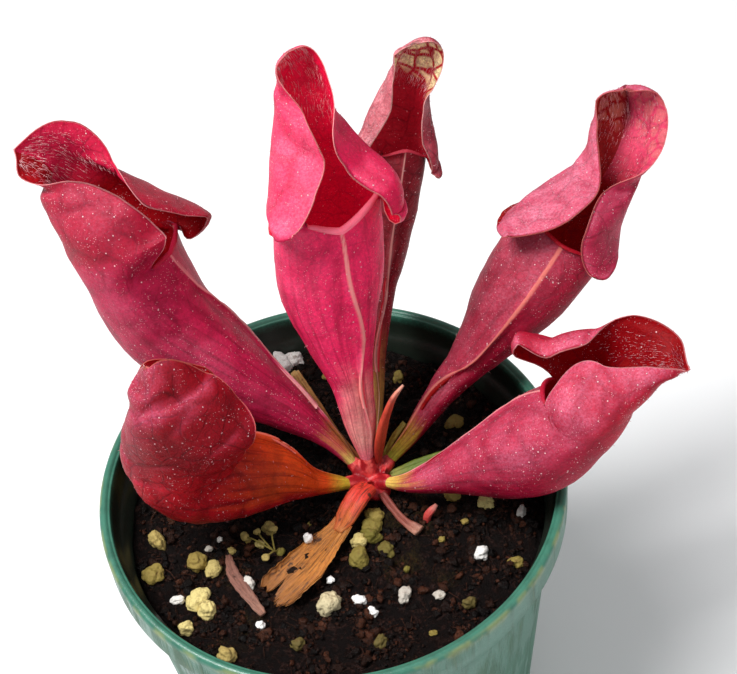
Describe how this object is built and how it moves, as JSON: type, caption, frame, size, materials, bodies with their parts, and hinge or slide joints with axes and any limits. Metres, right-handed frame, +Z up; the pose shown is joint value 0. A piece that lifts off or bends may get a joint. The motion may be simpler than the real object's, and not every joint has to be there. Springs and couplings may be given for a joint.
{
  "type": "potted pitcher plant",
  "caption": "Pitcher plant with red, hooded, hollow pitcher leaves, in peat in a round green plastic nursery pot.",
  "frame": {"origin": "centre of the pot's flat underside, on the surface that it stands on", "axes": "+Z up, +Y away from the side that the picture shows, +X to the right seen from that side"},
  "size_m": [0.1377, 0.1119, 0.1793],
  "materials": {
    "pot_plastic": "satin, moulded",
    "peat": "rough, damp",
    "crown_tissue": "satin",
    "pitcher_leaf": "satin, veined",
    "dead_leaf": "dry, papery",
    "green_leaf": "satin"
  },
  "bodies": {
    "root": {"pot": "pot_plastic", "soil": "peat", "crown": "crown_tissue", "pitcher_tall_left": "pitcher_leaf", "pitcher_centre": "pitcher_leaf", "pitcher_rear": "pitcher_leaf", "pitcher_tall_right": "pitcher_leaf", "pitcher_low_right": "pitcher_leaf", "pitcher_low_left": "pitcher_leaf", "young_leaf": "pitcher_leaf", "red_sprout": "pitcher_leaf", "dying_leaf": "dead_leaf", "cut_stub": "dead_leaf", "cut_stump": "dead_leaf", "dead_strip": "dead_leaf", "strap_green": "green_leaf", "strap_yellow": "green_leaf"}
  },
  "joints": []
}
